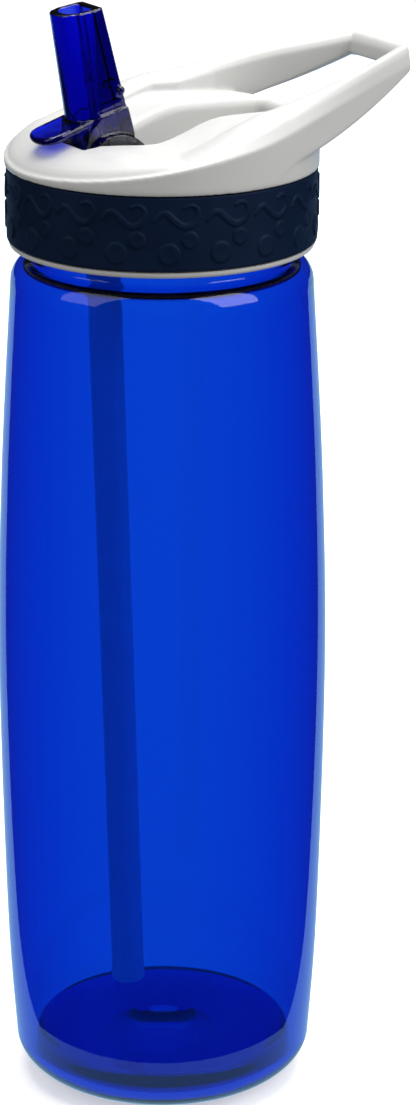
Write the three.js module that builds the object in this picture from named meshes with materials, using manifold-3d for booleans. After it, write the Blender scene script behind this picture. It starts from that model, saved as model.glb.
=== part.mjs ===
// Sports bottle: a rigid clear-blue bottle with a screw lid, a flip-up straw spout and a carry loop.
// Millimetres, +Z up. Every shape is drawn around the bottle's own axis, with z = 0 on the table;
// the whole group is then moved so that the origin is under the middle of the object's box.
// The loop points to +X, and the spout is at -X and folds towards +X.
import * as THREE from 'three';
import { mergeVertices } from 'three/addons/utils/BufferGeometryUtils.js';
import Module from 'manifold-3d';

const wasm = await Module();
wasm.setup();

// ---------------------------------------------------------------- driving dimensions
const GAP = 0.3; // between pieces that touch
const ROUND = 56; // facets round a full circle

// bottle
const BODY_R = 36.66; // at the belly
const WALL = 2.2;
const BASE_FLAT_R = 21.8; // outer edge of the flat ring that stands on the table
const BASE_CORNER_R = 33.83;
const BASE_CORNER_Z = 8.7;
const PUNT_R = 19.0; // shallow dish inside the standing ring
const PUNT_DEPTH = 1.2;
const FLOOR_Z = 10.0; // inside floor, thick in the middle
const FLOOR_R = 27.7; // a trough runs round it, where the corner's wall stays thin
const FLOOR_EDGE = 1.6; // rounding of the floor's rim above the trough
const TROUGH = 38; // degrees of the corner that the thin wall follows
const SHOULDER_Z = 186.5;
const SHOULDER_R = 33.0;
const NECK_R = 28.4;
const NECK_BORE_R = 26.2;
const NECK_BASE_Z = 192;
const NECK_TOP_Z = 205.2;

// screw thread, single start, right hand
const LEAD = 4.2;
const THREAD_ROOT = 1.7; // width at the foot of the thread
const THREAD_CREST = 0.8;
const NECK_THREAD_R = 29.8;
const NECK_THREAD_Z = 197.4;
const LINER_THREAD_R = 28.95;
const LINER_THREAD_Z = NECK_THREAD_Z - LEAD / 2;

// threaded liner of the lid
const LINER_Z = 194.6; // underside of the lid
const LINER_R = 32.2; // seat of the grip band
const LINER_BORE_R = 30.6;
const FLANGE_R = 33.2;
const FLANGE_H = 1.6;
const SEAT_Z = 207.1; // the gasket seats here
const SEAT_H = 1.8;
const SEAT_R = 26.6;
const SOCKET_R = 29.6; // the cover's spigot plugs in above the seat
const GASKET_R = 30.2;

// grip band
const BAND_Z = LINER_Z + FLANGE_H;
const BAND_H = 15.8;
const BAND_R = 33.7;

// cover, with the ring that becomes the carry loop
const COVER_Z = BAND_Z + BAND_H + GAP;
const COVER_R = 34;
const COVER_BORE_R = 27.8;
const SKIN = 2.0;
const LOOP_END_X = 56.3;
const LOOP_END_Y = 12;
const RING_SLOPE = 0.19; // rise of the ring towards the loop
const RING_Z = 220.1; // height of its outer edge over the axis
const CROWN_H = 3.8; // the ring's crest over its outer edge
const DECK_Z = 223;
const COLLAR_Z = 218.6; // deck beside the drum

// spout and its well
const PIVOT_X = -14.5;
const PIVOT_Z = 212.5;
const DRUM_R = 8.5;
const DRUM_W = 7.5; // half length
const FOOT_W = 5.8; // half width of the block over the drum
const WELL_R = DRUM_R + 0.4;
const WELL_W = DRUM_W + GAP;
const SLOT_END_X = 28.3;
const SLOT_END_W = 6.6;
const SLOT_FLOOR_Z = 205.1;
const SLOT_SLOPE = 0.261;
const SHELL = 1.7; // wall round the well and slot
const TRUNNION_R = 2.2;
const SPOUT_TOP_Z = 247;
const BORE_R = 2.4;
const TAB_Z = 223.4; // root of the thumb tab
const TAB_TILT = 0.315;
const SEAL_R = 5.3;
const SEAL_Z = 202.4;

// straw
const STRAW_R = 3.65;
const STRAW_WALL = 0.8;
const STRAW_TOP = new THREE.Vector3(-14.6, 0, 199.6);
const STRAW_FOOT = new THREE.Vector3(-9.0, 0, 22.5);

// ---------------------------------------------------------------- solids and meshes
function solidOf(geometry) {
  const bare = geometry.clone();
  bare.deleteAttribute('normal');
  bare.deleteAttribute('uv');
  const merged = mergeVertices(bare, 1e-4);
  const mesh = new wasm.Mesh({
    numProp: 3,
    vertProperties: Float32Array.from(merged.attributes.position.array),
    triVerts: Uint32Array.from(merged.index.array),
  });
  return new wasm.Manifold(mesh);
}

function geometryOf(solid) {
  const mesh = solid.getMesh();
  const geometry = new THREE.BufferGeometry();
  geometry.setAttribute('position', new THREE.BufferAttribute(mesh.vertProperties, 3));
  geometry.setIndex(new THREE.BufferAttribute(mesh.triVerts, 1));
  geometry.computeVertexNormals();
  return geometry;
}

// Closed (r, z) profile, counter-clockwise, turned about Z.
function turned(profile, segments = ROUND) {
  const points = profile.map(([r, z]) => new THREE.Vector2(r, z));
  if (profile[0][0] > 0) points.push(points[0].clone());
  return new THREE.LatheGeometry(points, segments).rotateX(Math.PI / 2);
}

// Outline in the XZ plane, given thickness 2 * half along Y.
function slabXZ(points, half) {
  const shape = new THREE.Shape(points.map(([x, z]) => new THREE.Vector2(x, z)));
  const geometry = new THREE.ExtrudeGeometry(shape, { depth: 2 * half, bevelEnabled: false });
  return geometry.translate(0, 0, -half).rotateX(Math.PI / 2);
}

function barY(radius, half, x, z, segments = 40) {
  return new THREE.CylinderGeometry(radius, radius, 2 * half, segments).translate(x, 0, z);
}

function barZ(radius, z0, z1, x = 0, segments = 32) {
  const bar = new THREE.CylinderGeometry(radius, radius, z1 - z0, segments);
  return bar.rotateX(Math.PI / 2).translate(x, 0, (z0 + z1) / 2);
}

// Skin through rings of equal point counts. A tube of rings either closes on its first ring
// or has a flat cap at each end.
function loft(rings, closed) {
  const n = rings[0].length;
  const position = rings.flat(2);
  const index = [];
  const last = closed ? rings.length : rings.length - 1;
  for (let i = 0; i < last; i += 1) {
    const a = i * n;
    const b = ((i + 1) % rings.length) * n;
    for (let j = 0; j < n; j += 1) {
      const k = (j + 1) % n;
      index.push(a + j, a + k, b + k, a + j, b + k, b + j);
    }
  }
  if (!closed) {
    const end = (rings.length - 1) * n;
    for (let j = 1; j < n - 1; j += 1) {
      index.push(0, j + 1, j);
      index.push(end, end + j, end + j + 1);
    }
  }
  const geometry = new THREE.BufferGeometry();
  geometry.setAttribute('position', new THREE.Float32BufferAttribute(position, 3));
  geometry.setIndex(index);
  return geometry;
}

const smooth = (a, b, x) => THREE.MathUtils.smoothstep(x, a, b);
const mix = THREE.MathUtils.lerp;

// One helical thread, its foot buried in the wall and its ends run out to nothing.
function thread({ wallR, crestR, z, from, to }) {
  const out = Math.sign(crestR - wallR);
  const steps = Math.round((to - from) * 36);
  const rings = [];
  for (let i = 0; i <= steps; i += 1) {
    const turn = mix(from, to, i / steps);
    const fade = Math.min(1, Math.min(i, steps - i) / 3);
    const crest = mix(wallR - 0.1 * out, crestR, fade);
    const angle = turn * 2 * Math.PI;
    const middle = z + LEAD * turn;
    const section = [
      [wallR - 0.5 * out, middle - THREAD_ROOT / 2],
      [crest, middle - THREAD_CREST / 2],
      [crest, middle + THREAD_CREST / 2],
      [wallR - 0.5 * out, middle + THREAD_ROOT / 2],
    ];
    if (out > 0) section.reverse();
    rings.push(section.map(([r, h]) => [r * Math.cos(angle), r * Math.sin(angle), h]));
  }
  return loft(rings, false);
}

// ---------------------------------------------------------------- bottle
const arc = (cx, cz, rx, rz, a0, a1, steps) => Array.from({ length: steps + 1 }, (_, i) => {
  const a = THREE.MathUtils.degToRad(mix(a0, a1, i / steps));
  return [cx + rx * Math.cos(a), cz + rz * Math.sin(a)];
});

const side = new THREE.SplineCurve([
  new THREE.Vector2(BASE_CORNER_R, BASE_CORNER_Z),
  new THREE.Vector2(35.55, 38),
  new THREE.Vector2(BODY_R, 97.6),
  new THREE.Vector2(35.55, 142.5),
  new THREE.Vector2(SHOULDER_R, SHOULDER_Z),
]);
const sidePoints = side.getPoints(8).map((p) => [p.x, p.y]);

function bottleBody() {
  const cornerX = BASE_CORNER_R - BASE_FLAT_R;
  const outside = [
    [0, PUNT_DEPTH],
    [PUNT_R / 3, 0.74 * PUNT_DEPTH],
    [PUNT_R * 2 / 3, 0.26 * PUNT_DEPTH],
    [PUNT_R, 0],
    ...arc(BASE_FLAT_R, BASE_CORNER_Z, cornerX, BASE_CORNER_Z, -90, 0, 4),
    ...sidePoints.slice(1),
    ...arc(SHOULDER_R - 3.6, SHOULDER_Z, 3.6, 4.8, 0, 90, 3).slice(1),
    [NECK_R, NECK_BASE_Z],
    [NECK_R, NECK_TOP_Z],
  ];
  const insideSide = sidePoints.slice(1, -1).map(([r, z]) => [r - WALL, z]).reverse();
  const inside = [
    [NECK_BORE_R, NECK_TOP_Z],
    [NECK_BORE_R, NECK_BASE_Z - 0.8],
    [NECK_BORE_R + 1.2, NECK_BASE_Z - 2.5],
    ...arc(SHOULDER_R - 3.6, SHOULDER_Z, 1.5, 2.7, 80, 15, 2),
    ...insideSide,
    ...arc(BASE_FLAT_R, BASE_CORNER_Z, cornerX - WALL, BASE_CORNER_Z - WALL - 0.2, 0, -TROUGH, 3),
    ...arc(FLOOR_R, FLOOR_Z - FLOOR_EDGE, FLOOR_EDGE, FLOOR_EDGE, 0, 90, 2),
    [0, FLOOR_Z],
  ];
  const wall = solidOf(turned([...outside, ...inside]));
  const ridge = thread({ wallR: NECK_R, crestR: NECK_THREAD_R, z: NECK_THREAD_Z, from: 0, to: 1.4 });
  return geometryOf(wall.add(solidOf(ridge)));
}

// ---------------------------------------------------------------- lid, lower half
function threadedLiner() {
  const wall = solidOf(turned([
    [LINER_BORE_R, LINER_Z],
    [FLANGE_R - 0.8, LINER_Z],
    [FLANGE_R, LINER_Z + 0.7],
    [FLANGE_R, BAND_Z - GAP],
    [LINER_R, BAND_Z - GAP],
    [LINER_R, BAND_Z + BAND_H],
    [SOCKET_R, BAND_Z + BAND_H],
    [SOCKET_R, SEAT_Z + SEAT_H],
    [SEAT_R, SEAT_Z + SEAT_H],
    [SEAT_R, SEAT_Z],
    [LINER_BORE_R, SEAT_Z],
  ]));
  const ridge = thread({
    wallR: LINER_BORE_R, crestR: LINER_THREAD_R, z: LINER_THREAD_Z, from: 0.15, to: 1.25,
  });
  return geometryOf(wall.add(solidOf(ridge)));
}

function gripBand() {
  return turned([
    [LINER_R + GAP, BAND_Z],
    [BAND_R - 0.4, BAND_Z],
    [BAND_R, BAND_Z + 0.4],
    [BAND_R, BAND_Z + BAND_H - 0.4],
    [BAND_R - 0.4, BAND_Z + BAND_H],
    [LINER_R + GAP, BAND_Z + BAND_H],
  ]);
}

function capGasket() {
  return turned([
    [NECK_BORE_R + 0.1, NECK_TOP_Z + GAP],
    [GASKET_R, NECK_TOP_Z + GAP],
    [GASKET_R, SEAT_Z - GAP],
    [NECK_BORE_R + 0.1, SEAT_Z - GAP],
  ]);
}

// ---------------------------------------------------------------- lid, cover
// The ring's outline is the cover's circle with a straight tangent arm each side, closed by
// the loop's end bar. An inset line of it is found by moving circle, arms and bar inwards.
const reach = Math.hypot(LOOP_END_X, LOOP_END_Y);
const tangent = Math.atan2(LOOP_END_Y, LOOP_END_X) + Math.acos(COVER_R / reach);
const armNormal = [Math.cos(tangent), Math.sin(tangent)];
const tangentX = COVER_R * armNormal[0];

const edgeZ = (x) => RING_Z + RING_SLOPE * x;
const crown = (x) => mix(0.5, CROWN_H, smooth(-20, 14, x));
const crestInset = (x) => mix(6.6, 1.7, smooth(0, 46, x));
const innerInset = (x) => mix(12.5, 4.5, smooth(0, 42, x));
const undersideZ = (x) => {
  const t = x - 23.8;
  return 217.3 + 0.221 * t + 0.0043 * t * t;
};

// Top of the round part: level behind, a step down beside the drum, domed to the sloping rim.
function deckZ(x, y) {
  const r = Math.hypot(x, y) / COVER_R;
  const dome = edgeZ(x) + 0.5 + 6 * (1 - r ** 3);
  const step = COLLAR_Z + 0.1 * Math.max(0, -8 - x) + (DECK_Z - COLLAR_Z) * smooth(-8, 10, x);
  const level = step - 0.002 * Math.max(0, x - 12) ** 2;
  const soft = 0.8;
  return -soft * Math.log(Math.exp(-dome / soft) + Math.exp(-level / soft));
}

// Where an inset line passes, at a station on the front circle, an arm or the end bar.
function insetPoint(station, inset, barInset) {
  if (station.part === 'circle') {
    const r = COVER_R - inset;
    return [r * Math.cos(station.angle), r * Math.sin(station.angle)];
  }
  const endX = LOOP_END_X - barInset;
  const x = station.part === 'arm' ? mix(tangentX, endX, station.t) : endX;
  const y = (COVER_R - inset - x * armNormal[0]) / armNormal[1];
  return [x, station.part === 'arm' ? station.side * y : station.t * y];
}

function ringStations() {
  const stations = [];
  for (let i = 0; i <= 36; i += 1) {
    const angle = mix(tangent, 2 * Math.PI - tangent, i / 36);
    stations.push({ part: 'circle', angle, x: COVER_R * Math.cos(angle) });
  }
  const steps = 9;
  for (let i = 1; i <= steps; i += 1) {
    const t = i / steps;
    stations.push({ part: 'arm', side: -1, t, x: mix(tangentX, LOOP_END_X, t) });
  }
  for (const t of [-0.8, 0, 0.8]) stations.push({ part: 'bar', t, x: LOOP_END_X });
  for (let i = steps; i >= 1; i -= 1) {
    const t = i / steps;
    stations.push({ part: 'arm', side: 1, t, x: mix(tangentX, LOOP_END_X, t) });
  }
  return stations;
}

function ringSection(station) {
  const { x } = station;
  const corner = station.part === 'arm' && station.t === 1;
  const shave = corner ? 0.9 : 0;
  const top = edgeZ(x);
  const rise = crown(x);
  const crest = crestInset(x);
  const inner = innerInset(x);
  const low = mix(COVER_Z, undersideZ(x), smooth(8, 15, x));
  const onDeck = x < 24;
  const innerLow = onDeck ? COVER_Z + 4 : undersideZ(x) + 0.9;
  const levels = [
    [shave, shave, low + 0.6],
    [shave, shave, top],
    [0.3 * crest, 0.4, top + 0.62 * rise],
    [0.7 * crest, 1.0, top + 0.95 * rise],
    [crest, 1.5, top + rise],
    [mix(crest, inner, 0.6), 2.5, top + rise - 0.15 * Math.min(rise, 1.9)],
    [inner, 3.3, top + rise - 0.5 * rise],
    [inner + (onDeck ? 1.5 : 0), 3.4, innerLow],
    [shave + 1.0, shave + 1.0, low],
  ];
  levels.reverse();
  return levels.map(([inset, barInset, z]) => [...insetPoint(station, inset, barInset), z]);
}

// Round block under a surface z = height(x, y), its rim at radius r.
function roundBlock(radius, z0, height, rimDrop) {
  const steps = [1, 0.985, 0.94, 0.86, 0.75, 0.6, 0.42, 0.2];
  const ring = (scale, heightAt) => Array.from({ length: ROUND }, (_, i) => {
    const a = (i / ROUND) * 2 * Math.PI;
    const x = radius * scale * Math.cos(a);
    const y = radius * scale * Math.sin(a);
    return [x, y, heightAt(x, y)];
  });
  const rings = [ring(1, () => z0)];
  steps.forEach((scale, i) => {
    const drop = rimDrop * [1, 0.35, 0.05, 0, 0, 0, 0, 0][i];
    rings.push(ring(scale, (x, y) => height(x, y) - drop));
  });
  return loft(rings, false);
}

// Half width of the slot for the folded spout.
const slotW = (x) => mix(WELL_W, SLOT_END_W, smooth(-2, SLOT_END_X, x));

function slotPlan(grow) {
  const corner = 1.6 + grow;
  const endX = SLOT_END_X + grow;
  const xs = [PIVOT_X, -4, 4, 12, 20, endX - corner];
  const right = xs.map((x) => [x, -slotW(x) - grow]);
  const turn = arc(endX - corner, -slotW(endX) - grow + corner, corner, corner, -90, 0, 4).slice(1);
  const half = [...right, ...turn];
  return [...half, ...half.map(([x, y]) => [x, -y]).reverse()];
}

// Room for the drum and the folded spout, or the shell round it when grown.
function wellSolid(grow) {
  const drum = solidOf(barY(WELL_R + grow, WELL_W + grow, PIVOT_X, PIVOT_Z));
  const above = new THREE.BoxGeometry(2 * (WELL_R + grow), 2 * (WELL_W + grow), 20);
  const throat = solidOf(above.translate(PIVOT_X, 0, PIVOT_Z + 10));
  const low = grow * Math.hypot(1, SLOT_SLOPE);
  const profile = slabXZ([
    [PIVOT_X, SLOT_FLOOR_Z - low],
    [SLOT_END_X + grow, SLOT_FLOOR_Z + SLOT_SLOPE * (SLOT_END_X + grow - PIVOT_X) - low],
    [SLOT_END_X + grow, PIVOT_Z + 20],
    [PIVOT_X, PIVOT_Z + 20],
  ], 20);
  const plan = slotPlan(grow);
  const tall = loft([plan.map((p) => [...p, 190]), plan.map((p) => [...p, 240])], false);
  return drum.add(throat).add(solidOf(profile).intersect(solidOf(tall)));
}

// Flared mouth of the slot and well, following the deck.
function rimFlare() {
  const layers = [[0, -2.0], [0.5, -0.9], [1.5, -0.1], [1.7, 4]];
  const outline = (grow) => {
    const plan = slotPlan(grow);
    const front = PIVOT_X - WELL_R + 0.6 - grow;
    const cut = plan.filter(([x]) => x > PIVOT_X);
    return [[front, -WELL_W - grow], ...cut, [front, WELL_W + grow]];
  };
  const rings = layers.map(([grow, lift]) => outline(grow).map(([x, y]) => [x, y, deckZ(x, y) + lift]));
  return loft(rings, false);
}

function lidCover() {
  const block = solidOf(roundBlock(COVER_R - 0.1, COVER_Z, deckZ, 2.2));
  const ring = solidOf(loft(ringStations().map(ringSection), true));
  const outer = block.add(ring);
  const hollow = solidOf(roundBlock(COVER_BORE_R, COVER_Z - 8, (x, y) => deckZ(x, y) - SKIN - 0.8, 0));
  const spigot = solidOf(turned([
    [COVER_BORE_R, SEAT_Z + SEAT_H + GAP],
    [SOCKET_R - GAP, SEAT_Z + SEAT_H + GAP],
    [SOCKET_R - GAP, COVER_Z + 1],
    [COVER_BORE_R, COVER_Z + 1],
  ]));
  const boss = solidOf(barZ(SEAL_R + 2, SEAL_Z - 2, PIVOT_Z, PIVOT_X));
  const below = solidOf(roundBlock(COVER_R - 2, SEAL_Z - 6, (x, y) => deckZ(x, y) - 0.3, 0));
  const shell = wellSolid(SHELL).add(boss).intersect(below);
  const nipple = solidOf(barZ(STRAW_R - STRAW_WALL - GAP - 0.1, SEAL_Z - 9, SEAL_Z - 1, PIVOT_X));
  const seat = solidOf(barZ(SEAL_R + GAP, SEAL_Z - GAP, PIVOT_Z, PIVOT_X));
  const water = solidOf(barZ(BORE_R - 0.8, SEAL_Z - 14, PIVOT_Z, PIVOT_X));
  const trunnions = solidOf(barY(TRUNNION_R + GAP, WELL_W + SHELL + 2, PIVOT_X, PIVOT_Z, 24));
  return geometryOf(outer.subtract(hollow).add(spigot).add(shell).add(nipple).subtract(wellSolid(0))
    .subtract(solidOf(rimFlare())).subtract(seat).subtract(water).subtract(trunnions).subtract(ventHoles()));
}

// ---------------------------------------------------------------- vent valve in the slot floor
const VENT_X = 7;
const VENT_Z = SLOT_FLOOR_Z + SLOT_SLOPE * (VENT_X - PIVOT_X) - SHELL / 2;
const VENT_TILT = -Math.atan(SLOT_SLOPE);
const STEM_R = 1.3;
const BEAD_R = 2.0;

// A hole for the stem, and a counterbore from mid-floor up that sinks the bead below the spout.
function ventHoles() {
  const hole = solidOf(barZ(STEM_R + GAP, -4, 1, 0, 20));
  const sink = solidOf(barZ(BEAD_R + GAP, 0, 4, 0, 20));
  const tilt = THREE.MathUtils.radToDeg(VENT_TILT);
  return hole.add(sink).rotate([0, tilt, 0]).translate([VENT_X, 0, VENT_Z]);
}

// Umbrella valve: a disc under the floor, a stem through it and a sunk bead above.
function ventValve() {
  const half = SHELL / 2 + GAP;
  return turned([
    [0, -half - 1.6],
    [4.2, -half - 0.8],
    [4.2, -half - 0.2],
    [STEM_R, -half - 0.2],
    [STEM_R, GAP],
    [BEAD_R, GAP],
    [BEAD_R - 0.4, GAP + 0.4],
    [0, GAP + 0.4],
  ], 32);
}

// ---------------------------------------------------------------- spout
// D-shaped barrel that leans to -X: flat back, rounded front, a little wider at its foot.
function barrelRing(z) {
  const t = (z - 221.3) / (247.7 - 221.3);
  const back = mix(-9.9, -16.8, t);
  const front = mix(-21.9, -26.1, t);
  const width = mix(5.3, 5.0, t);
  const shoulder = front + 2.6;
  const tilt = 0.155;
  const nose = arc(shoulder, 0, shoulder - front, width - 0.6, 90, 270, 8);
  const outline = [[back, -width + 0.5], [back, width - 0.5], [back - 0.5, width],
    [shoulder + 1, width], ...nose, [shoulder + 1, -width], [back - 0.5, -width]];
  return outline.map(([x, y]) => [x, y, z + tilt * (x - back)]);
}

// The water way: round at the drum, widening to a D-shaped mouth that is flat at the back.
function boreRing(z) {
  const t = (z - 202) / (SPOUT_TOP_Z - 202);
  const x = mix(PIVOT_X, -21.2, t);
  const wide = smooth(0.55, 1, t);
  const rx = mix(BORE_R, 2.9, wide);
  const ry = mix(BORE_R, 3.6, wide);
  return arc(0, 0, 1, 1, 0, 345, 23).map(([c, s]) => {
    const flat = mix(1, c > 0 ? 0.45 : 0.85, wide);
    return [x + rx * Math.sign(c) * Math.abs(c) ** flat, ry * Math.sign(s) * Math.abs(s) ** flat, z];
  });
}

function flipSpout() {
  const drum = solidOf(barY(DRUM_R, DRUM_W, PIVOT_X, PIVOT_Z));
  const pins = solidOf(barY(TRUNNION_R, WELL_W + SHELL - 0.2, PIVOT_X, PIVOT_Z, 24));
  const barrel = solidOf(loft([215, 222, 230, 238.5, SPOUT_TOP_Z + 0.7].map(barrelRing), false));
  const foot = solidOf(slabXZ([
    [-21.6, 215], [-9, 214], [-9.9, 221.3], [-11.3, 226.5], [-18, 224.8], [-20.8, 221.5],
  ], FOOT_W));
  const plan = new THREE.Shape();
  const tabW = 5.2;
  plan.moveTo(0, -tabW).lineTo(0, tabW).lineTo(-8.8, tabW);
  plan.quadraticCurveTo(-12.6, tabW, -12.6, 0);
  plan.quadraticCurveTo(-12.6, -tabW, -8.8, -tabW);
  const tabShape = new THREE.ExtrudeGeometry(plan, {
    depth: 1.0, bevelSize: 0.35, bevelThickness: 0.35, bevelSegments: 1, curveSegments: 8,
  });
  const tab = solidOf(tabShape.rotateY(-TAB_TILT).translate(-18.2, 0, TAB_Z));
  const bore = solidOf(loft([202, 212, 222, 229, 236, 243, 250].map(boreRing), false));
  let solid = drum.add(pins).add(barrel).add(foot).add(tab);
  for (const y of [-5.3, 5.3]) {
    solid = solid.add(solidOf(new THREE.SphereGeometry(0.9, 12, 8).translate(-12.9, y, 230)));
  }
  return geometryOf(solid.subtract(bore));
}

// Silicone saddle that the drum turns on; it closes the straw when the spout is folded.
function spoutSeal() {
  const plug = solidOf(barZ(SEAL_R, SEAL_Z, PIVOT_Z - 4, PIVOT_X));
  const drum = solidOf(barY(DRUM_R + GAP, DRUM_W + 5, PIVOT_X, PIVOT_Z));
  const bore = solidOf(barZ(BORE_R, SEAL_Z - 1, PIVOT_Z, PIVOT_X));
  return geometryOf(plug.subtract(drum).subtract(bore));
}

// ---------------------------------------------------------------- straw
function straw() {
  const length = STRAW_TOP.distanceTo(STRAW_FOOT);
  const bore = STRAW_R - STRAW_WALL;
  return turned([[bore, 0], [STRAW_R, 0], [STRAW_R, length], [bore, length]], 24);
}

// ---------------------------------------------------------------- assembly
const colours = {
  blue: { color: 0x0a3fd0, roughness: 0.08, metalness: 0, transparent: true, opacity: 0.6 },
  white: { color: 0xd9d9d6, roughness: 0.38, metalness: 0 },
  navy: { color: 0x12283f, roughness: 0.75, metalness: 0 },
  silicone: { color: 0xe6e8e8, roughness: 0.6, metalness: 0 },
  milky: { color: 0xdde2e6, roughness: 0.4, metalness: 0 },
};

const bottle = new THREE.Group();
bottle.position.x = -(LOOP_END_X - BODY_R) / 2;

function place(name, geometry, finish, parent = bottle) {
  const mesh = new THREE.Mesh(geometry, new THREE.MeshStandardMaterial(colours[finish]));
  mesh.name = name;
  parent.add(mesh);
  return mesh;
}

place('bottle_body', bottleBody(), 'blue');

const lid = new THREE.Group();
bottle.add(lid);
place('threaded_liner', threadedLiner(), 'white', lid);
place('cap_gasket', capGasket(), 'silicone', lid);
place('grip_band', gripBand(), 'navy', lid);
place('lid_cover', lidCover(), 'white', lid);
place('spout_seal', spoutSeal(), 'silicone', lid);
place('flip_spout', flipSpout(), 'blue', lid);

const valve = place('vent_valve', ventValve(), 'silicone', lid);
valve.rotation.y = VENT_TILT;
valve.position.set(VENT_X, 0, VENT_Z);

const tube = place('straw', straw(), 'milky', lid);
tube.position.copy(STRAW_FOOT);
tube.quaternion.setFromUnitVectors(
  new THREE.Vector3(0, 0, 1),
  STRAW_TOP.clone().sub(STRAW_FOOT).normalize(),
);

export default bottle;
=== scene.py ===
"""Looks of a clear blue sports bottle with a flip-up straw spout and a carry loop.

Lengths in this file are millimetres around the bottle's own axis, z = 0 on the table, as a maker's
drawing has them; place() turns them into the frame's metres.
"""
import math

import bmesh
import bpy
import numpy as np
from mathutils import Matrix, Vector


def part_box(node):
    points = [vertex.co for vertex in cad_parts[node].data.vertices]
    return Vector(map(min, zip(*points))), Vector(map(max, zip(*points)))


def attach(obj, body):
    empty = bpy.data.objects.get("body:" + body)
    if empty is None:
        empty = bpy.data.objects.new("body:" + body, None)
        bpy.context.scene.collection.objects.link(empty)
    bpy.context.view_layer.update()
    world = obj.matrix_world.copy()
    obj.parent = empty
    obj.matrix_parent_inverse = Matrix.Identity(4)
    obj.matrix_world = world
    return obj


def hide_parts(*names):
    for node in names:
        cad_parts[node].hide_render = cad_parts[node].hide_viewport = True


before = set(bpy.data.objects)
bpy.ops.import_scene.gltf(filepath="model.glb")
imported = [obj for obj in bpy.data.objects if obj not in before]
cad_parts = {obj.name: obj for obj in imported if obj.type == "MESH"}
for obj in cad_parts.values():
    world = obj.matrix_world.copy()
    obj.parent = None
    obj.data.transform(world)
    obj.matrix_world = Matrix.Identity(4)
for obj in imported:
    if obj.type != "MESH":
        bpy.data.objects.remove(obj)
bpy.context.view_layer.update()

MM = 0.001
low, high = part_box("bottle_body")
AXIS_X = (low.x + high.x) / 2 / MM  # the bottle's axis in the frame
BODY_R = (high.x - low.x) / 2 / MM

# ------------------------------------------------------------------ dimensions, mm
WALL = 2.2
BASE_FLAT_R = 21.8
BASE_CORNER_R = 33.83
BASE_CORNER_Z = 8.7
PUNT_R = 19.0  # shallow dish under the bottle
PUNT_DEPTH = 1.2
FLOOR_Z = 10.0  # inside floor, thick in the middle
FLOOR_R = 27.7  # a trough runs round it
FLOOR_EDGE = 1.6
TROUGH = 38  # how far round the corner, in degrees, the thin wall runs
SHOULDER_Z = 186.5
SHOULDER_R = 33.0
NECK_R = 28.4
NECK_BORE_R = 26.2
NECK_BASE_Z = 192.0
NECK_TOP_Z = high.z / MM

LEAD = 4.2
THREAD_ROOT = 1.7
THREAD_CREST = 0.8
NECK_THREAD_R = 29.8
NECK_THREAD_Z = 197.4

LINER_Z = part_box("threaded_liner")[0].z / MM
LINER_R = 32.2
LINER_BORE_R = 30.6
LINER_THREAD_R = 28.95
FLANGE_R = 33.2
FLANGE_H = 1.6
SEAT_Z = 207.1
SEAT_H = 1.8
SEAT_R = 26.6
SOCKET_R = 29.6
GAP = 0.3

BAND_Z = LINER_Z + FLANGE_H
BAND_H = 15.8
BAND_R = 33.65
RELIEF = 0.32  # how far the band's pattern stands out
REPEATS = 19
WAVE_DOWN = 4.0  # from the band's top edge to the wave's middle
DISCS = ((2.6, 9.0, 1.75), (-1.8, 12.0, 2.25))  # along, down, radius

COVER_R = 34.0
COVER_Z = BAND_Z + BAND_H + GAP
COVER_BORE_R = 27.8
SKIN = 2.0
LOOP_END_X = 56.3
LOOP_END_Y = 12.0
RING_SLOPE = 0.19
RING_Z = 220.1
CROWN_H = 3.8
DECK_Z = 223.0
COLLAR_Z = 218.6  # deck beside the drum

PIVOT_X = -14.5
PIVOT_Z = 212.5
DRUM_R = 8.5
DRUM_W = 7.5
FOOT_W = 5.8
TAB_Z = 223.4  # root of the thumb tab
TAB_TILT = 0.315
TAB_W = 5.2
TAB_SIDE_X = -8.8
TAB_TIP_X = -12.6
NUB_X = -12.9
NUB_Y = 5.3
NUB_Z = 230
NUB_R = 0.9
WELL_R = DRUM_R + 0.4
WELL_W = DRUM_W + GAP
SLOT_END_X = 28.3
SLOT_END_W = 6.6
SLOT_FLOOR_Z = 205.1
SLOT_SLOPE = 0.261
SHELL = 1.7
TRUNNION_R = 2.2
SPOUT_TOP_Z = 247.0
BORE_R = 2.4
SEAL_R = 5.3
SEAL_Z = 202.4
VENT_X = 7.0

COVER_VOXEL = 0.36  # grain of the skin that eases each moulding's edges
SPOUT_VOXEL = 0.24

STRAW_R = 3.65
STRAW_WALL = 0.8
STRAW_TOP = Vector((-14.6, 0, 199.6))
STRAW_FOOT = Vector((-9.0, 0, 22.5))


# ------------------------------------------------------------------ small helpers
def mix(a, b, t):
    return a + (b - a) * t


def smooth(a, b, x):
    t = min(1.0, max(0.0, (x - a) / (b - a)))
    return t * t * (3 - 2 * t)


def arc(cx, cz, rx, rz, a0, a1, steps):
    angles = [math.radians(mix(a0, a1, i / steps)) for i in range(steps + 1)]
    return [(cx + rx * math.cos(a), cz + rz * math.sin(a)) for a in angles]


def spline(points, steps):
    """A Catmull-Rom curve through (r, z) points."""
    result = []
    last = len(points) - 1
    for i in range(last):
        p0, p1, p2, p3 = (points[max(0, min(last, i + k))] for k in (-1, 0, 1, 2))
        for j in range(steps):
            t = j / steps
            result.append(tuple(
                0.5 * (2 * b + (c - a) * t + (2 * a - 5 * b + 4 * c - d) * t * t
                       + (3 * b - a - 3 * c + d) * t ** 3)
                for a, b, c, d in zip(p0, p1, p2, p3)))
    return result + [points[-1]]


def mesh_object(name, points, faces):
    mesh = bpy.data.meshes.new(name)
    mesh.from_pydata([tuple(p) for p in points], [], faces)
    mesh.update()
    obj = bpy.data.objects.new(name, mesh)
    bpy.context.scene.collection.objects.link(obj)
    return obj


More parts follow.
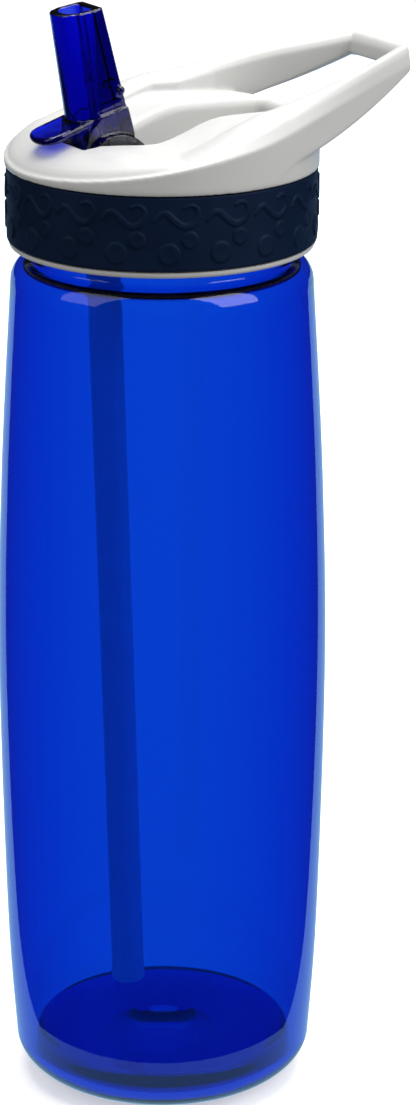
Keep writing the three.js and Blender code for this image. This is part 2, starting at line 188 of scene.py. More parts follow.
def place(obj):
    """From millimetres round the bottle's axis to the frame's metres."""
    obj.data.transform(Matrix.Diagonal((MM, MM, MM, 1)) @ Matrix.Translation((AXIS_X, 0, 0)))
    obj.data.update()
    return obj


def outward(obj):
    work = bmesh.new()
    work.from_mesh(obj.data)
    bmesh.ops.recalc_face_normals(work, faces=work.faces)
    work.to_mesh(obj.data)
    work.free()
    return obj


def shade(obj, angle=None):
    for polygon in obj.data.polygons:
        polygon.use_smooth = True
    if angle is not None:
        obj.data.set_sharp_from_angle(angle=math.radians(angle))
    return obj


def lathe(name, profile, segments, radius_at=None):
    """Turns a closed (r, z) profile about the axis. radius_at may change r by angle and height."""
    points = []
    faces = []
    rings = []
    for r, z in profile:
        if r < 1e-6:
            rings.append([len(points)])
            points.append((0, 0, z))
            continue
        rings.append(range(len(points), len(points) + segments))
        for k in range(segments):
            a = 2 * math.pi * k / segments
            radius = radius_at(r, z, a) if radius_at else r
            points.append((radius * math.cos(a), radius * math.sin(a), z))
    closed = profile[0][0] > 1e-6
    for i in range(len(rings) if closed else len(rings) - 1):
        first, second = rings[i], rings[(i + 1) % len(rings)]
        for k in range(segments):
            n = (k + 1) % segments
            if len(first) == 1:
                faces.append((first[0], second[n], second[k]))
            elif len(second) == 1:
                faces.append((first[k], first[n], second[0]))
            else:
                faces.append((first[k], first[n], second[n], second[k]))
    return outward(mesh_object(name, points, faces))


def loft(name, rings, closed=False):
    """Skin through rings of equal point counts, closed on itself or capped at both ends."""
    n = len(rings[0])
    points = [p for ring in rings for p in ring]
    faces = []
    for i in range(len(rings) if closed else len(rings) - 1):
        a, b = i * n, ((i + 1) % len(rings)) * n
        faces += [(a + j, a + (j + 1) % n, b + (j + 1) % n, b + j) for j in range(n)]
    if not closed:
        faces.append(tuple(reversed(range(n))))
        faces.append(tuple(range((len(rings) - 1) * n, len(rings) * n)))
    return outward(mesh_object(name, points, faces))


def cylinder(name, radius, half, centre, axis="Y", segments=96):
    work = bmesh.new()
    bmesh.ops.create_cone(work, cap_ends=True, segments=segments, radius1=radius, radius2=radius,
                          depth=2 * half)
    mesh = bpy.data.meshes.new(name)
    work.to_mesh(mesh)
    work.free()
    if axis == "Y":
        mesh.transform(Matrix.Rotation(math.pi / 2, 4, "X"))
    mesh.transform(Matrix.Translation(centre))
    obj = bpy.data.objects.new(name, mesh)
    bpy.context.scene.collection.objects.link(obj)
    return obj


def slab_xz(name, points, half):
    rings = [[(x, y, z) for x, z in points] for y in (-half, half)]
    return loft(name, rings)


def carve(target, tool, operation):
    modifier = target.modifiers.new(operation, "BOOLEAN")
    modifier.operation = operation
    modifier.solver = "MANIFOLD"
    modifier.object = tool
    apply_modifiers(target)
    bpy.data.objects.remove(tool)
    return target


def apply_modifiers(obj):
    depsgraph = bpy.context.evaluated_depsgraph_get()
    mesh = bpy.data.meshes.new_from_object(obj.evaluated_get(depsgraph))
    obj.modifiers.clear()
    old = obj.data
    obj.data = mesh
    bpy.data.meshes.remove(old)


def soften(obj, voxel, passes):
    """Rebuilds a solid as an even skin and eases its edges, as a mould's small radii do."""
    remesh = obj.modifiers.new("skin", "REMESH")
    remesh.mode = "VOXEL"
    remesh.voxel_size = voxel
    ease = obj.modifiers.new("ease", "SMOOTH")
    ease.factor = 0.5
    ease.iterations = passes
    apply_modifiers(obj)
    return shade(obj)


# ------------------------------------------------------------------ shapes
SIDE = spline([
    (BASE_CORNER_R, BASE_CORNER_Z), (35.55, 38), (BODY_R, 97.6), (35.55, 142.5),
    (SHOULDER_R, SHOULDER_Z),
], 14)


def thread_height(turns_from, turns_to, z0, z, angle):
    """How much of the thread's ridge stands at this place, 0 to 1."""
    best = 0.0
    for whole in range(3):
        turn = angle / (2 * math.pi) + whole
        if not turns_from <= turn <= turns_to:
            continue
        off = abs(z - (z0 + LEAD * turn))
        ridge = 1 - max(0, off - THREAD_CREST / 2) / ((THREAD_ROOT - THREAD_CREST) / 2)
        fade = min(1, (turn - turns_from) * 12, (turns_to - turn) * 12)
        best = max(best, min(1, max(0, ridge)) * max(0, fade))
    return best


def bottle_shell():
    neck = [(NECK_R, z) for z in np.arange(NECK_BASE_Z + 3.5, NECK_TOP_Z - 0.6, 0.2)]
    outside = [
        *[(PUNT_R * i / 12, PUNT_DEPTH * (1 - smooth(0, 12, i))) for i in range(13)],
        *arc(BASE_FLAT_R, BASE_CORNER_Z, BASE_CORNER_R - BASE_FLAT_R, BASE_CORNER_Z, -90, 0, 20),
        *SIDE[1:],
        *arc(SHOULDER_R - 3.6, SHOULDER_Z, 3.6, 4.8, 0, 80, 12)[1:],
        (NECK_R + 0.5, NECK_BASE_Z - 0.35), (NECK_R + 0.1, NECK_BASE_Z + 0.1),
        (NECK_R, NECK_BASE_Z + 0.6), *neck,
        (NECK_R, NECK_TOP_Z - 0.5), (NECK_R - 0.5, NECK_TOP_Z),
    ]
    inside = [
        (NECK_BORE_R + 0.5, NECK_TOP_Z), (NECK_BORE_R, NECK_TOP_Z - 0.5),
        (NECK_BORE_R, NECK_BASE_Z - 0.4), (NECK_BORE_R + 0.2, NECK_BASE_Z - 1.4),
        (NECK_BORE_R + 0.9, NECK_BASE_Z - 2.2), (NECK_BORE_R + 1.9, NECK_BASE_Z - 2.7),
        *arc(SHOULDER_R - 3.6, SHOULDER_Z, 1.5, 2.7, 85, 5, 10),
        *[(r - WALL, z) for r, z in reversed(SIDE) if 11 < z < SHOULDER_Z - 1],
        *arc(BASE_FLAT_R, BASE_CORNER_Z, BASE_CORNER_R - BASE_FLAT_R - WALL, BASE_CORNER_Z - WALL - 0.2,
             0, -TROUGH, 12),
        *arc(FLOOR_R, FLOOR_Z - FLOOR_EDGE, FLOOR_EDGE, FLOOR_EDGE, 0, 90, 6),
        (18, FLOOR_Z), (8, FLOOR_Z), (6.5, FLOOR_Z - 0.2), (5, FLOOR_Z - 0.9), (0, FLOOR_Z - 1.2),
    ]

    def radius_at(r, z, angle):
        if abs(r - NECK_R) > 1e-6:
            return r
        return r + (NECK_THREAD_R - NECK_R) * thread_height(0, 1.4, NECK_THREAD_Z, z, angle)

    return place(shade(lathe("bottle_shell", outside + inside, 224, radius_at), 40))


def liner_moulding():
    bore = [(LINER_BORE_R, z) for z in np.arange(SEAT_Z - 1, LINER_Z + 0.8, -0.2)]
    profile = [
        (LINER_BORE_R + 0.4, LINER_Z),
        *arc(FLANGE_R - 0.9, LINER_Z + 0.9, 0.9, 0.9, -90, 0, 6),
        (FLANGE_R, BAND_Z - GAP - 0.15), (FLANGE_R - 0.15, BAND_Z - GAP),
        (LINER_R, BAND_Z - GAP), (LINER_R, BAND_Z + BAND_H), (SOCKET_R, BAND_Z + BAND_H),
        (SOCKET_R, SEAT_Z + SEAT_H), (SEAT_R, SEAT_Z + SEAT_H), (SEAT_R, SEAT_Z),
        (LINER_BORE_R, SEAT_Z), *bore, (LINER_BORE_R, LINER_Z + 0.4),
    ]

    def radius_at(r, z, angle):
        if abs(r - LINER_BORE_R) > 1e-6:
            return r
        ridge = thread_height(0.15, 1.25, NECK_THREAD_Z - LEAD / 2, z, angle)
        return r - (LINER_BORE_R - LINER_THREAD_R) * ridge

    return place(shade(lathe("liner_moulding", profile, 192, radius_at), 40))


# --- grip band: a wave with a hooked end, over a small and a large disc, repeated round the lid
def wave_line():
    """Centre line of one running wave, in mm: along the band, and down from the wave's middle."""
    line = spline([(-4.8, 0.9), (-3.6, -0.5), (-2.2, -0.6), (-0.6, 0.9), (1.2, 2.1), (3.1, 1.8),
                   (4.3, 0.2), (4.1, -1.6), (2.8, -2.3), (1.5, -1.8)], 5)
    return np.array(line)


def band_relief(u, v):
    """Height of the pattern, 0 to 1, at u mm round the band and v mm under its top edge."""
    pitch = 2 * math.pi * BAND_R / REPEATS
    cell = (u + pitch / 2) % pitch - pitch / 2
    line = wave_line()
    last = len(line) - 2
    height = np.zeros(u.shape)
    for i in range(last + 1):
        (x0, y0), (x1, y1) = line[i], line[i + 1]
        dx, dy = x1 - x0, y1 - y0
        px, py = cell - x0, v - WAVE_DOWN - y0
        t = np.clip((px * dx + py * dy) / (dx * dx + dy * dy), 0, 1)
        away = np.hypot(px - t * dx, py - t * dy)
        half = mix(0.3, 0.62, math.sin(math.pi * min(1, 1.25 * i / last)))
        height = np.maximum(height, np.clip((half - away) / 0.3 + 0.5, 0, 1))
    for along, down, radius in DISCS:
        for shift in (-pitch, 0, pitch):
            away = np.hypot(cell - along - shift, v - down)
            rim = np.clip((radius - away) / 0.3 + 0.5, 0, 1)
            height = np.maximum(height, rim * (1 - 0.25 * np.clip(1 - away / (0.7 * radius), 0, 1)))
    return height


def grip_sleeve():
    columns, rows = 1064, 76
    u = np.linspace(0, 2 * math.pi * BAND_R, columns, endpoint=False)
    v = np.linspace(0.4, BAND_H - 0.4, rows)
    height = band_relief(*np.meshgrid(u, v))
    radius = BAND_R - 0.02 + RELIEF * height
    angle = u / BAND_R
    top = BAND_Z + BAND_H
    rings = [(np.full(columns, LINER_R + GAP), top), (np.full(columns, BAND_R - 0.4), top),
             (np.full(columns, BAND_R - 0.1), top - 0.12)]
    rings += [(radius[i], top - v[i]) for i in range(rows)]
    rings += [(np.full(columns, BAND_R - 0.1), BAND_Z + 0.12),
              (np.full(columns, BAND_R - 0.4), BAND_Z), (np.full(columns, LINER_R + GAP), BAND_Z)]
    points = []
    for r, z in rings:
        points += list(zip(r * np.cos(angle), r * np.sin(angle), np.full(columns, z)))
    faces = []
    for i in range(len(rings)):
        a, b = i * columns, ((i + 1) % len(rings)) * columns
        faces += [(a + k, a + (k + 1) % columns, b + (k + 1) % columns, b + k) for k in range(columns)]
    return place(shade(outward(mesh_object("grip_sleeve", points, faces)), 60))


# --- cover: the same laws as the CAD part, on a finer net
reach = math.hypot(LOOP_END_X, LOOP_END_Y)
TANGENT = math.atan2(LOOP_END_Y, LOOP_END_X) + math.acos(COVER_R / reach)
ARM_NORMAL = (math.cos(TANGENT), math.sin(TANGENT))
TANGENT_X = COVER_R * ARM_NORMAL[0]


def edge_z(x):
    return RING_Z + RING_SLOPE * x


def deck_z(x, y):
    r = math.hypot(x, y) / COVER_R
    dome = edge_z(x) + 0.5 + 6 * (1 - r ** 3)
    step = COLLAR_Z + 0.1 * max(0, -8 - x) + (DECK_Z - COLLAR_Z) * smooth(-8, 10, x)
    level = step - 0.002 * max(0, x - 12) ** 2
    ease = 0.8
    return -ease * math.log(math.exp(-dome / ease) + math.exp(-level / ease))


def underside_z(x):
    t = x - 23.8
    return 217.3 + 0.221 * t + 0.0043 * t * t


def inset_point(part, at, inset, bar_inset):
    """Where an inset line of the ring passes: at is an angle, or a share of an arm or of the bar."""
    if part == "circle":
        return (COVER_R - inset) * math.cos(at), (COVER_R - inset) * math.sin(at)
    end_x = LOOP_END_X - bar_inset
    x = end_x if part == "bar" else mix(TANGENT_X, end_x, at)
    y = (COVER_R - inset - x * ARM_NORMAL[0]) / ARM_NORMAL[1]
    sign = {"near": -1, "far": 1, "bar": at}[part]
    return x, sign * y


def ring_section(part, at, x):
    corner = part in ("near", "far") and at == 1
    shave = 0.9 if corner else 0
    top = edge_z(x)
    rise = mix(0.5, CROWN_H, smooth(-20, 14, x))
    crest = mix(6.6, 1.7, smooth(0, 46, x))
    inner = mix(12.5, 4.5, smooth(0, 42, x))
    low_z = mix(COVER_Z, underside_z(x), smooth(8, 15, x))
    on_deck = x < 24
    inner_low = COVER_Z + 4 if on_deck else underside_z(x) + 0.9
    levels = [(shave, shave, low_z + 0.6), (shave, shave, top)]
    for t, share in ((0.3, 0.62), (0.5, 0.82), (0.7, 0.95), (1, 1)):
        levels.append((max(shave, t * crest), max(shave, 1.5 * t), top + share * rise))
    levels += [
        (mix(crest, inner, 0.35), 2.1, top + rise - 0.04 * rise),
        (mix(crest, inner, 0.7), 2.7, top + rise - 0.2 * rise),
        (inner, 3.3, top + rise - 0.5 * rise),
        (inner + (1.5 if on_deck else 0), 3.4, inner_low),
        (shave + 1.0, shave + 1.0, low_z),
    ]
    return [(*inset_point(part, at, inset, bar_inset), z) for inset, bar_inset, z in levels]


def ring_solid():
    rings = []
    for i in range(161):
        angle = mix(TANGENT, 2 * math.pi - TANGENT, i / 160)
        rings.append(ring_section("circle", angle, COVER_R * math.cos(angle)))
    steps = 40
    for i in range(1, steps + 1):
        rings.append(ring_section("near", i / steps, mix(TANGENT_X, LOOP_END_X, i / steps)))
    for share in (-0.8, -0.4, 0, 0.4, 0.8):
        rings.append(ring_section("bar", share, LOOP_END_X))
    for i in range(steps, 0, -1):
        rings.append(ring_section("far", i / steps, mix(TANGENT_X, LOOP_END_X, i / steps)))
    return loft("ring", rings, closed=True)


def round_block(name, radius, z0, height, rim_drop):
    steps = [1, 0.992, 0.98, 0.965, 0.94, 0.9, 0.84, 0.76, 0.66, 0.54, 0.4, 0.25, 0.1]
    drops = [1, 0.7, 0.4, 0.18, 0.04]
    around = [2 * math.pi * k / 200 for k in range(200)]
    rings = [[(radius * math.cos(a), radius * math.sin(a), z0) for a in around]]
    for i, scale in enumerate(steps):
        drop = rim_drop * (drops[i] if i < len(drops) else 0)
        flat = [(radius * scale * math.cos(a), radius * scale * math.sin(a)) for a in around]
        rings.append([(x, y, height(x, y) - drop) for x, y in flat])
    return loft(name, rings)


def slot_width(x):
    return mix(WELL_W, SLOT_END_W, smooth(-2, SLOT_END_X, x))


def slot_plan(grow):
    corner = 1.6 + grow
    end_x = SLOT_END_X + grow
    xs = [PIVOT_X] + list(np.linspace(-6, end_x - corner, 14))
    half = [(x, -slot_width(x) - grow) for x in xs]
    half += arc(end_x - corner, -slot_width(end_x) - grow + corner, corner, corner, -90, 0, 8)[1:]
    return half + [(x, -y) for x, y in reversed(half)]


def well_solid(grow):
    well = cylinder("well", WELL_R + grow, WELL_W + grow, (PIVOT_X, 0, PIVOT_Z))
    reach_x, reach_y = WELL_R + grow, WELL_W + grow
    throat = loft("throat", [[(PIVOT_X + sx * reach_x, sy * reach_y, z)
                              for sx, sy in ((-1, -1), (1, -1), (1, 1), (-1, 1))]
                             for z in (PIVOT_Z, PIVOT_Z + 20)])
    deep = grow * math.hypot(1, SLOT_SLOPE)
    end_x = SLOT_END_X + grow
    profile = slab_xz("profile", [
        (PIVOT_X, SLOT_FLOOR_Z - deep),
        (end_x, SLOT_FLOOR_Z + SLOT_SLOPE * (end_x - PIVOT_X) - deep),
        (end_x, PIVOT_Z + 20), (PIVOT_X, PIVOT_Z + 20)], 20)
    plan = loft("plan", [[(x, y, z) for x, y in slot_plan(grow)] for z in (190, 240)])
    carve(profile, plan, "INTERSECT")
    carve(well, throat, "UNION")
    return carve(well, profile, "UNION")


def rim_flare():
    rings = []
    for grow, lift in ((0, -2.0), (0.2, -1.3), (0.6, -0.7), (1.1, -0.25), (1.7, 0), (1.9, 4)):
        front = PIVOT_X - WELL_R + 0.6 - grow
        plan = [(front, -WELL_W - grow)] + [p for p in slot_plan(grow) if p[0] > PIVOT_X]
        plan.append((front, WELL_W + grow))
        rings.append([(x, y, deck_z(x, y) + lift) for x, y in plan])
    return loft("flare", rings)


def cover_moulding():
    cover = round_block("cover_moulding", COVER_R - 0.1, COVER_Z, deck_z, 2.2)
    carve(cover, ring_solid(), "UNION")
    carve(cover, round_block("hollow", COVER_BORE_R, COVER_Z - 8,
                             lambda x, y: deck_z(x, y) - SKIN - 0.8, 0), "DIFFERENCE")
    spigot = lathe("spigot", [
        (COVER_BORE_R, SEAT_Z + SEAT_H + GAP), (SOCKET_R - GAP, SEAT_Z + SEAT_H + GAP),
        (SOCKET_R - GAP, COVER_Z + 1), (COVER_BORE_R, COVER_Z + 1)], 160)
    carve(cover, spigot, "UNION")
    shell = well_solid(SHELL)
    half = (PIVOT_Z - SEAL_Z + 2) / 2
    carve(shell, cylinder("boss", SEAL_R + 2, half, (PIVOT_X, 0, PIVOT_Z - half), "Z"), "UNION")
    below = round_block("below", COVER_R - 2, SEAL_Z - 6, lambda x, y: deck_z(x, y) - 0.3, 0)
    carve(shell, below, "INTERSECT")
    carve(cover, shell, "UNION")
    nipple = cylinder("nipple", STRAW_R - STRAW_WALL - GAP - 0.1, 4, (PIVOT_X, 0, SEAL_Z - 5), "Z")
    carve(cover, nipple, "UNION")
    carve(cover, well_solid(0), "DIFFERENCE")
    carve(cover, rim_flare(), "DIFFERENCE")
    seat = cylinder("seat", SEAL_R + GAP, 5, (PIVOT_X, 0, SEAL_Z - GAP + 5), "Z")
    carve(cover, seat, "DIFFERENCE")
    water = cylinder("water", BORE_R - 0.8, 12, (PIVOT_X, 0, SEAL_Z - 2), "Z")
    carve(cover, water, "DIFFERENCE")
    pins = cylinder("pins", TRUNNION_R + GAP, WELL_W + SHELL + 2, (PIVOT_X, 0, PIVOT_Z))
    carve(cover, pins, "DIFFERENCE")
    vent = cylinder("vent", 1.6, 4, (0, 0, 0), "Z")
    vent.data.transform(Matrix.Rotation(-math.atan(SLOT_SLOPE), 4, "Y"))
    vent_z = SLOT_FLOOR_Z + SLOT_SLOPE * (VENT_X - PIVOT_X) - SHELL / 2
    vent.data.transform(Matrix.Translation((VENT_X, 0, vent_z)))
    carve(cover, vent, "DIFFERENCE")
    soften(cover, COVER_VOXEL, 5)
    for vertex in cover.data.vertices:  # the parting edge over the band stays flat and crisp
        if vertex.co.z < COVER_Z + 0.25 and math.hypot(vertex.co.x, vertex.co.y) > SOCKET_R + 1:
            vertex.co.z = COVER_Z
    return place(cover)


# --- spout
def barrel_ring(z):
    t = (z - 221.3) / (247.7 - 221.3)
    back = mix(-9.9, -16.8, t)
    front = mix(-21.9, -26.1, t)
    width = mix(5.3, 5.0, t)
    nose = arc(front + 2.6, 0, 2.6, width - 0.6, 90, 270, 24)
    outline = [(back, -width + 0.5), (back, width - 0.5), (back - 0.5, width),
               (front + 3.6, width), *nose, (front + 3.6, -width), (back - 0.5, -width)]
    return [(x, y, z + 0.155 * (x - back)) for x, y in outline]


def bore_ring(z):
    """The water way: round at the drum, a D with its flat at the back at the mouth."""
    t = (z - 202) / (SPOUT_TOP_Z - 202)
    wide = smooth(0.55, 1, t)
    rx, ry = mix(BORE_R, 2.9, wide), mix(BORE_R, 3.6, wide)
    ring = []
    for c, s in arc(0, 0, 1, 1, 0, 355, 71):
        flat = mix(1, 0.45 if c > 0 else 0.85, wide)
        x = mix(PIVOT_X, -21.2, t) + rx * math.copysign(abs(c) ** flat, c)
        ring.append((x, ry * math.copysign(abs(s) ** flat, s), z))
    return ring


def thumb_tab():
    """A tongue with a rounded end: each half of the end is a quadratic curve from side to tip."""
    steps = 12
    curve = []
    for i in range(1, steps + 1):
        t = i / steps
        x = (1 - t) ** 2 * TAB_SIDE_X + 2 * (1 - t) * t * TAB_TIP_X + t * t * TAB_TIP_X
        curve.append((x, TAB_W * (1 - t * t)))
    half = [(0, TAB_W), (TAB_SIDE_X, TAB_W)] + curve
    plan = half + [(x, -y) for x, y in reversed(half[:-1])]
    rings = []
    for grow, z in ((-0.35, 0), (0.1, 0.12), (0.35, 0.5), (0.35, 1.2), (0.1, 1.58), (-0.35, 1.7)):
        middle = Vector((-5.5, 0, 0))
        ring = []
        for x, y in plan:
            away = Vector((x, y, 0)) - middle
            ring.append(tuple(middle + away * (1 + grow / away.length) + Vector((0, 0, z - 0.35))))
        rings.append(ring)
    tab = loft("tab", rings)
    tab.data.transform(Matrix.Rotation(-TAB_TILT, 4, "Y"))
    tab.data.transform(Matrix.Translation((-18.2, 0, TAB_Z)))
    return tab


def spout_clear():
    spout = cylinder("spout_clear", DRUM_R, DRUM_W, (PIVOT_X, 0, PIVOT_Z), segments=128)
    carve(spout, cylinder("pins", TRUNNION_R, WELL_W + SHELL - 0.2, (PIVOT_X, 0, PIVOT_Z)), "UNION")
    heights = list(np.linspace(215, SPOUT_TOP_Z + 0.7, 12))
    carve(spout, loft("barrel", [barrel_ring(z) for z in heights]), "UNION")
    foot = slab_xz("foot", [(-21.6, 215), (-9, 214), (-9.9, 221.3), (-11.3, 226.5),
                            (-18, 224.8), (-20.8, 221.5)], FOOT_W)
    carve(spout, foot, "UNION")
    carve(spout, thumb_tab(), "UNION")
    for y in (-NUB_Y, NUB_Y):
        work = bmesh.new()
        bmesh.ops.create_uvsphere(work, u_segments=24, v_segments=16, radius=NUB_R)
        mesh = bpy.data.meshes.new("nub")
        work.to_mesh(mesh)
        work.free()
        mesh.transform(Matrix.Translation((NUB_X, y, NUB_Z)))
        nub = bpy.data.objects.new("nub", mesh)
        bpy.context.scene.collection.objects.link(nub)
        carve(spout, nub, "UNION")
    carve(spout, loft("bore", [bore_ring(z) for z in np.linspace(202, 250, 14)]), "DIFFERENCE")
    return place(soften(spout, SPOUT_VOXEL, 3))


def straw_tube():
    length = (STRAW_TOP - STRAW_FOOT).length
    bore = STRAW_R - STRAW_WALL
    lip = 0.25
    tube = lathe("straw_tube", [
        (bore + lip, 0), (STRAW_R - lip, 0), (STRAW_R, lip), (STRAW_R, length - lip),
        (STRAW_R - lip, length), (bore + lip, length), (bore, length - lip), (bore, lip)], 64)
    turn = Vector((0, 0, 1)).rotation_difference(STRAW_TOP - STRAW_FOOT)
    tube.data.transform(Matrix.Translation(STRAW_FOOT) @ turn.to_matrix().to_4x4())
    return place(shade(tube, 40))


# ------------------------------------------------------------------ materials
def new_material(name):
    material = bpy.data.materials.new(name)
    material.use_nodes = True
    tree = material.node_tree
    return material, tree, tree.nodes["Principled BSDF"]


def noise(tree, scale, detail=4.0):
    where = tree.nodes.new("ShaderNodeTexCoord")
    node = tree.nodes.new("ShaderNodeTexNoise")
    node.inputs["Scale"].default_value = scale
    node.inputs["Detail"].default_value = detail
    tree.links.new(where.outputs["Object"], node.inputs["Vector"])
    return node.outputs["Fac"]


def ranged(tree, value, to_low, to_high, from_low=0.3, from_high=0.7):
    node = tree.nodes.new("ShaderNodeMapRange")
    node.inputs["From Min"].default_value = from_low
    node.inputs["From Max"].default_value = from_high
    node.inputs["To Min"].default_value = to_low
    node.inputs["To Max"].default_value = to_high
    tree.links.new(value, node.inputs["Value"])
    return node.outputs["Result"]


def tinted(tree, value, dark, light):
    ramp = tree.nodes.new("ShaderNodeValToRGB")
    ramp.color_ramp.elements[0].position = 0.3
    ramp.color_ramp.elements[0].color = (*dark, 1)
    ramp.color_ramp.elements[1].position = 0.7
    ramp.color_ramp.elements[1].color = (*light, 1)
    tree.links.new(value, ramp.inputs["Fac"])
    return ramp.outputs["Color"]


def bumped(tree, shader, height, distance):
    bump = tree.nodes.new("ShaderNodeBump")
    bump.inputs["Strength"].default_value = 1.0
    bump.inputs["Distance"].default_value = distance
    tree.links.new(height, bump.inputs["Height"])
    tree.links.new(bump.outputs["Normal"], shader.inputs["Normal"])


def clear_plastic(name, colour, density, wobble):
    """Clear tinted copolyester: the tint is in its depth, and its skin has a faint moulding wave."""
    material, tree, shader = new_material(name)
    shader.inputs["Base Color"].default_value = (1, 1, 1, 1)
    shader.inputs["Transmission Weight"].default_value = 1.0
    shader.inputs["IOR"].default_value = 1.54
    tree.links.new(ranged(tree, noise(tree, 60, 3), 0.012, 0.035), shader.inputs["Roughness"])
    bumped(tree, shader, noise(tree, 35, 2), wobble)
    depth = tree.nodes.new("ShaderNodeVolumeAbsorption")
    depth.inputs["Color"].default_value = (*colour, 1)
    depth.inputs["Density"].default_value = density
    tree.links.new(depth.outputs["Volume"], tree.nodes["Material Output"].inputs["Volume"])
    return material


def straw_plastic():
    """Natural polyethylene: milky and faintly waxy."""
    material, tree, shader = new_material("straw_plastic")
    colour = tinted(tree, noise(tree, 160, 3), (0.7, 0.73, 0.76), (0.76, 0.78, 0.8))
    tree.links.new(colour, shader.inputs["Base Color"])
    shader.inputs["Subsurface Weight"].default_value = 0.25
    shader.inputs["Subsurface Radius"].default_value = (0.0015, 0.0015, 0.0015)
    shader.inputs["IOR"].default_value = 1.5
    tree.links.new(ranged(tree, noise(tree, 500, 3), 0.3, 0.42), shader.inputs["Roughness"])
    bumped(tree, shader, noise(tree, 600, 2), 0.000015)
    return material


def lid_plastic():
    """Satin polypropylene: warm light grey, a fine spark-eroded grain and slight flow variation."""
    material, tree, shader = new_material("lid_plastic")
    colour = tinted(tree, noise(tree, 28, 3), (0.6, 0.6, 0.585), (0.64, 0.64, 0.625))
    tree.links.new(colour, shader.inputs["Base Color"])
    shader.inputs["Subsurface Weight"].default_value = 0.12
    shader.inputs["Subsurface Radius"].default_value = (0.002, 0.002, 0.0018)
    shader.inputs["IOR"].default_value = 1.49
    tree.links.new(ranged(tree, noise(tree, 420, 4), 0.34, 0.46), shader.inputs["Roughness"])
    bumped(tree, shader, noise(tree, 3200, 2), 0.000012)
    return material


def band_rubber():
    material, tree, shader = new_material("band_rubber")
    colour = tinted(tree, noise(tree, 90, 5), (0.0015, 0.009, 0.034), (0.003, 0.014, 0.046))
    tree.links.new(colour, shader.inputs["Base Color"])
    shader.inputs["Specular IOR Level"].default_value = 0.12
    tree.links.new(ranged(tree, noise(tree, 700, 5), 0.5, 0.66), shader.inputs["Roughness"])
    bumped(tree, shader, noise(tree, 2600, 4), 0.00003)
    return material


def soft_silicone():
    material, tree, shader = new_material("soft_silicone")
    colour = tinted(tree, noise(tree, 120, 3), (0.62, 0.64, 0.64), (0.7, 0.71, 0.71))
    tree.links.new(colour, shader.inputs["Base Color"])
    shader.inputs["Subsurface Weight"].default_value = 0.3
    shader.inputs["Subsurface Radius"].default_value = (0.002, 0.002, 0.002)
    tree.links.new(ranged(tree, noise(tree, 800, 3), 0.45, 0.6), shader.inputs["Roughness"])
    bumped(tree, shader, noise(tree, 2400, 3), 0.00002)
    return material


def dress(obj, material):
    obj.data.materials.clear()
    obj.data.materials.append(material)


BODY_CLEAR = clear_plastic("body_clear", (0.0, 0.56, 0.937), 1500, 0.00001)
SPOUT_CLEAR = clear_plastic("spout_clear_plastic", (0.0, 0.2, 0.915), 2300, 0.000004)
LID = lid_plastic()
SILICONE = soft_silicone()

pieces = [
    (bottle_shell(), "bottle", "bottle_body", "clear_blue", BODY_CLEAR),
    (liner_moulding(), "lid", "threaded_liner", "lid_white", LID),
    (grip_sleeve(), "lid", "grip_band", "band_navy", band_rubber()),
    (cover_moulding(), "lid", "lid_cover", "lid_white", LID),
    (straw_tube(), "lid", "straw", "straw_milky", straw_plastic()),
    (spout_clear(), "spout", "flip_spout", "spout_blue", SPOUT_CLEAR),
]
for piece, body, node, slot_name, material in pieces:
    dress(piece, material)
    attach(piece, body)
    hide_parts(node)
for node in ("cap_gasket", "spout_seal", "vent_valve"):
    dress(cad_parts[node], SILICONE)


# ------------------------------------------------------------------ stage, light, camera
# metres, in the frame
BACKDROP = 60  # direction of the backdrop from the bottle, degrees from +X
SHEET_SPREAD = 35
SHEET_POINTS = 32
SHEET_Z = 0.0002
FOOT_R = 0.055
FOOT_TURN = 100  # where the foot's arc starts and ends, degrees to each side of the backdrop
FAR_R = 3.5
FLOOR_HALF = 4
DARK = 0.02  # what reflections see of the room
CAST = (0.35, 0.66, 1, 1)  # chosen for the bottle's pale edges; real paper is white
SOFTBOX = (0.8, 1.3)
SOFTBOX_AIM = (0, 0, 0.19)


def by_ray(tree, socket, base, **strengths):
    """Drives a strength by the kind of ray that looks: camera, diffuse or transmission."""
    path = tree.nodes.new("ShaderNodeLightPath")
    value = None
    for kind, strength in strengths.items():
        seen = ranged(tree, path.outputs[f"Is {kind.title()} Ray"], base, strength, 0, 1)
        if value is not None:
            most = tree.nodes.new("ShaderNodeMath")
            most.operation = "MAXIMUM"
            tree.links.new(value, most.inputs[0])
            tree.links.new(seen, most.inputs[1])
            seen = most.outputs[0]
        value = seen
    tree.links.new(value, socket)


def floor_paper():
    """White paper that stays white to the camera and behind the plastic, and dark to reflections."""
    material, tree, shader = new_material("floor_paper")
    colour = tinted(tree, noise(tree, 3, 2), (0.84, 0.84, 0.84), (0.87, 0.87, 0.87))
    tree.links.new(colour, shader.inputs["Base Color"])
    shader.inputs["Roughness"].default_value = 0.9
    shader.inputs["Emission Color"].default_value = (1, 1, 1, 1)
    by_ray(tree, shader.inputs["Emission Strength"], 0, camera=0.45)
    through = tree.nodes.new("ShaderNodeEmission")
    by_ray(tree, through.inputs["Strength"], DARK, transmission=1, diffuse=0.35)
    choose = tree.nodes.new("ShaderNodeMixShader")
    by_ray(tree, choose.inputs[0], 0, camera=1)
    tree.links.new(through.outputs[0], choose.inputs[1])
    tree.links.new(shader.outputs[0], choose.inputs[2])
    tree.links.new(choose.outputs[0], tree.nodes["Material Output"].inputs["Surface"])
    return material


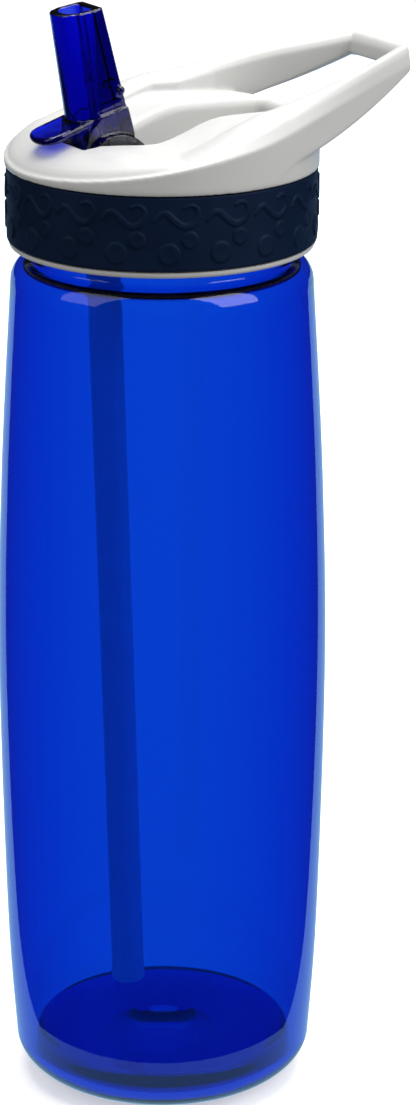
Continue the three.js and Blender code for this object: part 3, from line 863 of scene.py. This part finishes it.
def sheet_glow():
    """White behind the plastic, and pale blue where the plastic reflects it."""
    material, tree, _ = new_material("sheet_glow")
    light = tree.nodes.new("ShaderNodeEmission")
    cast = tree.nodes.new("ShaderNodeMix")
    cast.data_type = "RGBA"
    factor, reflected, behind = cast.inputs[0], cast.inputs[6], cast.inputs[7]
    reflected.default_value = CAST
    behind.default_value = (1, 1, 1, 1)
    by_ray(tree, factor, 0, transmission=1)
    tree.links.new(cast.outputs[2], light.inputs["Color"])
    tree.links.new(ranged(tree, noise(tree, 2, 1), 0.97, 1.0), light.inputs["Strength"])
    tree.links.new(light.outputs[0], tree.nodes["Material Output"].inputs["Surface"])
    return material


def sheet_outline():
    """What the bottle's skin reflects of the paper: round its foot, and in a wedge behind it."""
    foot = arc(AXIS_X * MM, 0, FOOT_R, FOOT_R, BACKDROP + FOOT_TURN,
               BACKDROP + 360 - FOOT_TURN, SHEET_POINTS)
    far = arc(AXIS_X * MM, 0, FAR_R, FAR_R, BACKDROP - SHEET_SPREAD, BACKDROP + SHEET_SPREAD, 1)
    return [(x, y, SHEET_Z) for x, y in foot + far]


def stage():
    corners = [(-1, -1), (1, -1), (1, 1), (-1, 1)]
    floor = mesh_object("floor", [(FLOOR_HALF * x, FLOOR_HALF * y, 0) for x, y in corners], [(0, 1, 2, 3)])
    dress(floor, floor_paper())
    outline = sheet_outline()
    sheet = mesh_object("white_sheet", outline, [tuple(range(len(outline)))])
    dress(sheet, sheet_glow())
    sheet.visible_camera = sheet.visible_diffuse = sheet.visible_shadow = False
    world = bpy.data.worlds.new("studio")
    world.use_nodes = True
    background = world.node_tree.nodes["Background"]
    background.inputs["Color"].default_value = (1, 1, 1, 1)
    strength = background.inputs["Strength"]
    by_ray(world.node_tree, strength, DARK, camera=1, transmission=1, diffuse=0.3)
    bpy.context.scene.world = world


def area_light(name, where, target, size, watts):
    data = bpy.data.lights.new(name, "AREA")
    data.shape = "RECTANGLE"
    data.size, data.size_y = size
    data.energy = watts
    light = bpy.data.objects.new(name, data)
    light.location = where
    light.rotation_euler = (Vector(target) - Vector(where)).to_track_quat("-Z", "Y").to_euler()
    light.visible_camera = False
    bpy.context.scene.collection.objects.link(light)


def camera():
    """A short telephoto at the photographer's place, measured from the bottle's axis."""
    azimuth = math.radians(-30)  # looks along +Y turned by this much
    distance, aside, height = 0.752, 0.0102, 0.3744
    pitch, roll = math.radians(18.43), math.radians(0.211)
    right = Vector((math.cos(azimuth), math.sin(azimuth), 0))
    ahead = Vector((-math.sin(azimuth), math.cos(azimuth), 0))
    look = ahead * math.cos(pitch) - Vector((0, 0, math.sin(pitch)))
    up = right.cross(look)
    data = bpy.data.cameras.new("camera")
    data.lens = 115.8
    data.clip_start = 0.01
    view = bpy.data.objects.new("camera", data)
    x_axis = right * math.cos(roll) + up * math.sin(roll)
    y_axis = up * math.cos(roll) - right * math.sin(roll)
    turn = Matrix((x_axis, y_axis, -look)).transposed().to_4x4()
    place_at = Vector((AXIS_X * MM, 0, height)) + right * aside - ahead * distance
    view.matrix_world = Matrix.Translation(place_at) @ turn
    bpy.context.scene.collection.objects.link(view)
    bpy.context.scene.camera = view


stage()
area_light("softbox_left", (-1.05, 0.09, 0.95), SOFTBOX_AIM, SOFTBOX, 4)
area_light("softbox_right", (0.54, -0.9, 0.95), SOFTBOX_AIM, SOFTBOX, 11)
area_light("overhead", (0.2, 0.3, 1.35), (0, 0, 0.2), (1.2, 1.2), 22)
camera()
bpy.context.scene.view_settings.view_transform = "Standard"
